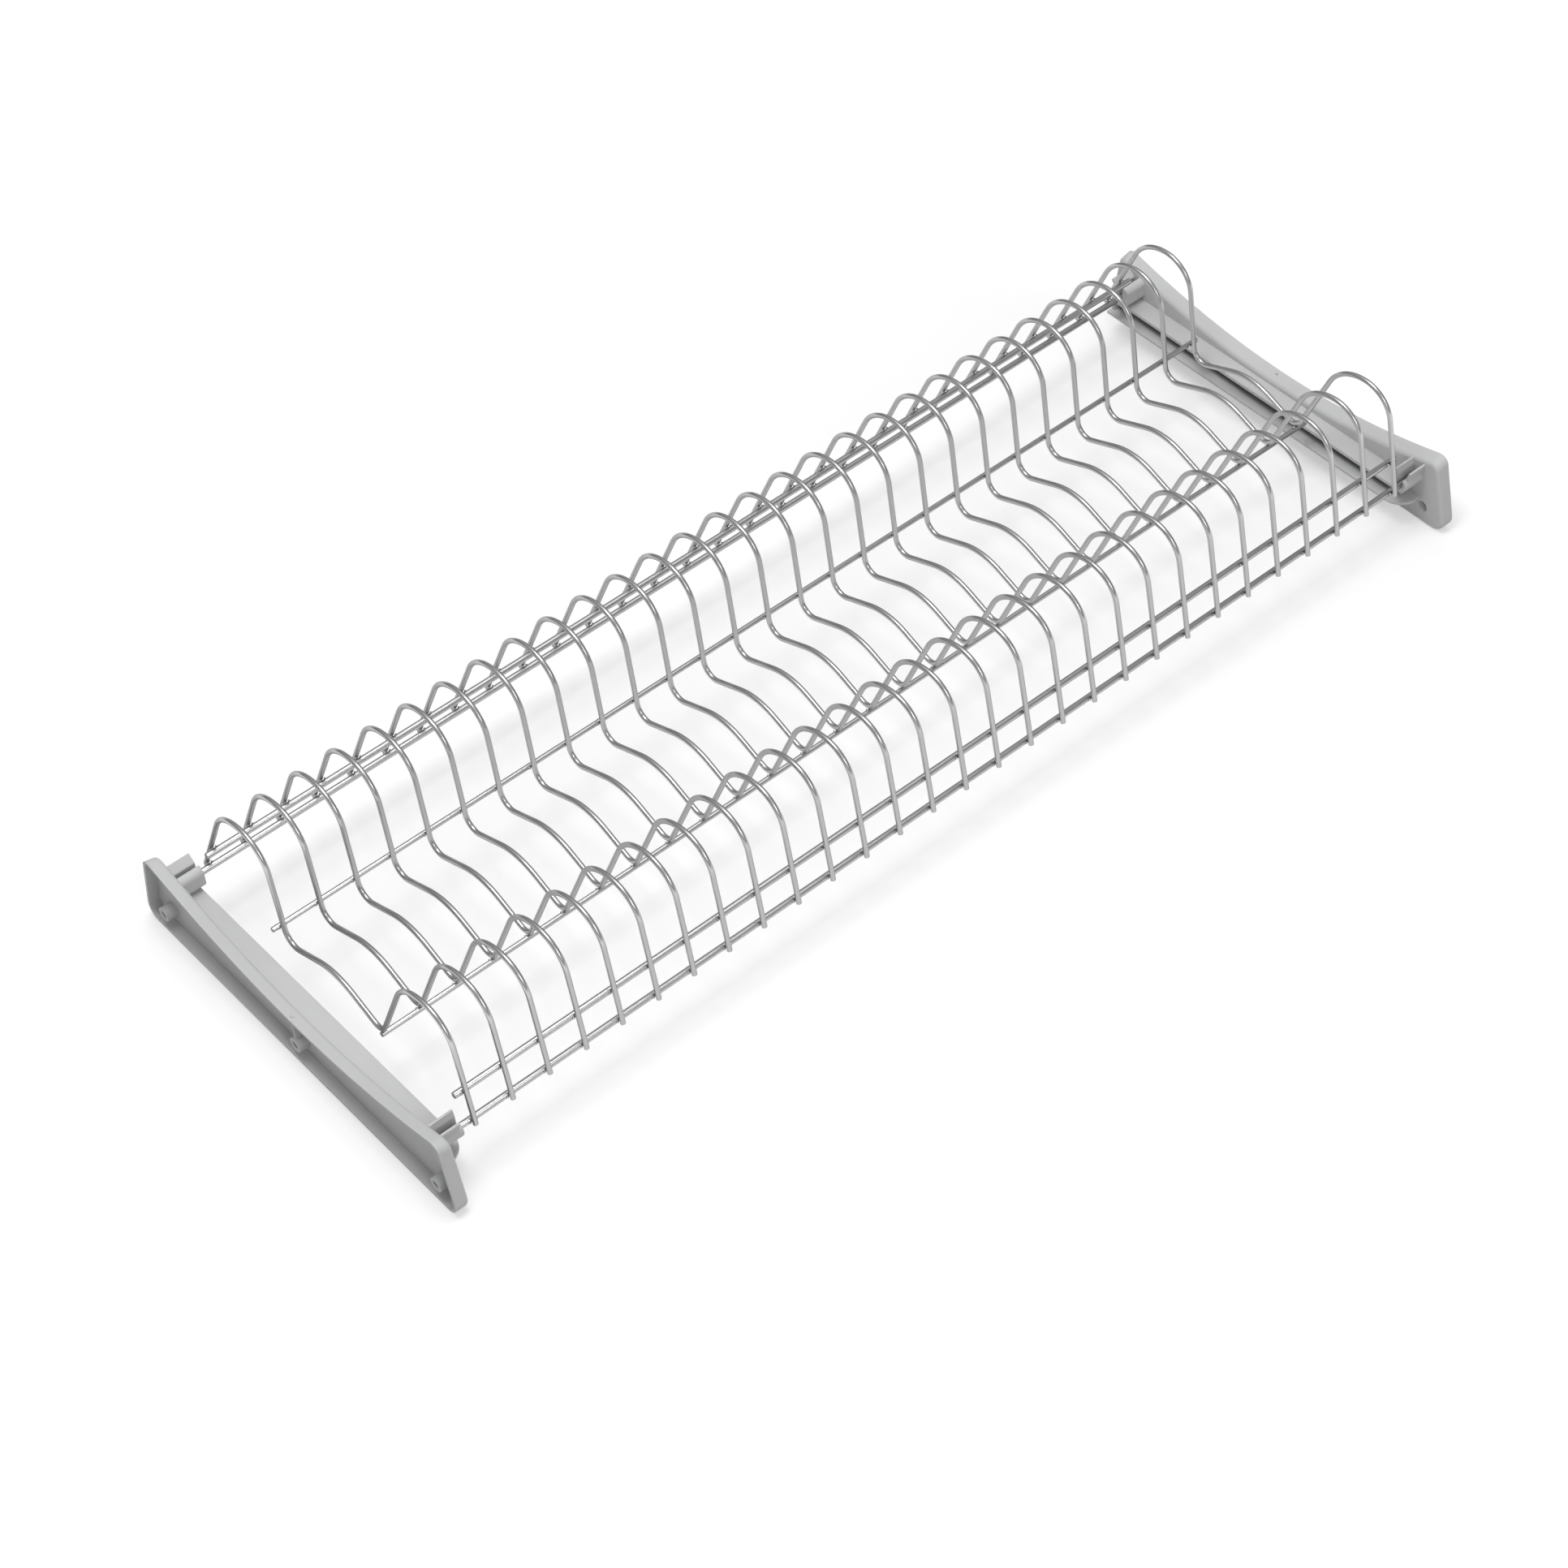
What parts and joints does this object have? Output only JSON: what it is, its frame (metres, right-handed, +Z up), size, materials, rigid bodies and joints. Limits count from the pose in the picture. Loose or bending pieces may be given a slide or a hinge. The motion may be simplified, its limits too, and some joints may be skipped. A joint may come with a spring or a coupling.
{
  "type": "cabinet dish drainer",
  "caption": "Wire plate rack for a wall cabinet, lying in clips of two plastic side brackets that also hold a drip tray.",
  "frame": {"origin": "on the plane of the brackets' undersides, midway between the brackets and midway along them", "axes": "+X along the rods to the right-hand cabinet side, +Y to the back of the cabinet, +Z up"},
  "size_m": [0.764, 0.2904, 0.1089],
  "materials": {
    "steel_wire": "drawn, satin",
    "steel_rod": "drawn, satin",
    "grey_plastic": "moulded, matt"
  },
  "bodies": {
    "brackets": {"left_bracket": "grey_plastic", "right_bracket": "grey_plastic"},
    "rack": {"plate_wire_01": "steel_wire", "plate_wire_02": "steel_wire", "plate_wire_03": "steel_wire", "plate_wire_04": "steel_wire", "plate_wire_05": "steel_wire", "plate_wire_06": "steel_wire", "plate_wire_07": "steel_wire", "plate_wire_08": "steel_wire", "plate_wire_09": "steel_wire", "plate_wire_10": "steel_wire", "plate_wire_11": "steel_wire", "plate_wire_12": "steel_wire", "plate_wire_13": "steel_wire", "plate_wire_14": "steel_wire", "plate_wire_15": "steel_wire", "plate_wire_16": "steel_wire", "plate_wire_17": "steel_wire", "plate_wire_18": "steel_wire", "plate_wire_19": "steel_wire", "plate_wire_20": "steel_wire", "plate_wire_21": "steel_wire", "plate_wire_22": "steel_wire", "plate_wire_23": "steel_wire", "plate_wire_24": "steel_wire", "plate_wire_25": "steel_wire", "plate_wire_26": "steel_wire", "plate_wire_27": "steel_wire", "plate_wire_28": "steel_wire", "plate_wire_29": "steel_wire", "rear_carrier_rod": "steel_rod", "front_carrier_rod": "steel_rod", "rear_upper_rod": "steel_rod", "front_upper_rod": "steel_rod", "rear_rest_rod": "steel_rod", "valley_rod": "steel_rod"}
  },
  "joints": [
    {"name": "rack_lift", "type": "slide", "parent": "brackets", "child": "rack", "axis": [0, 0, 1], "range_m": [0, 0.1]}
  ]
}
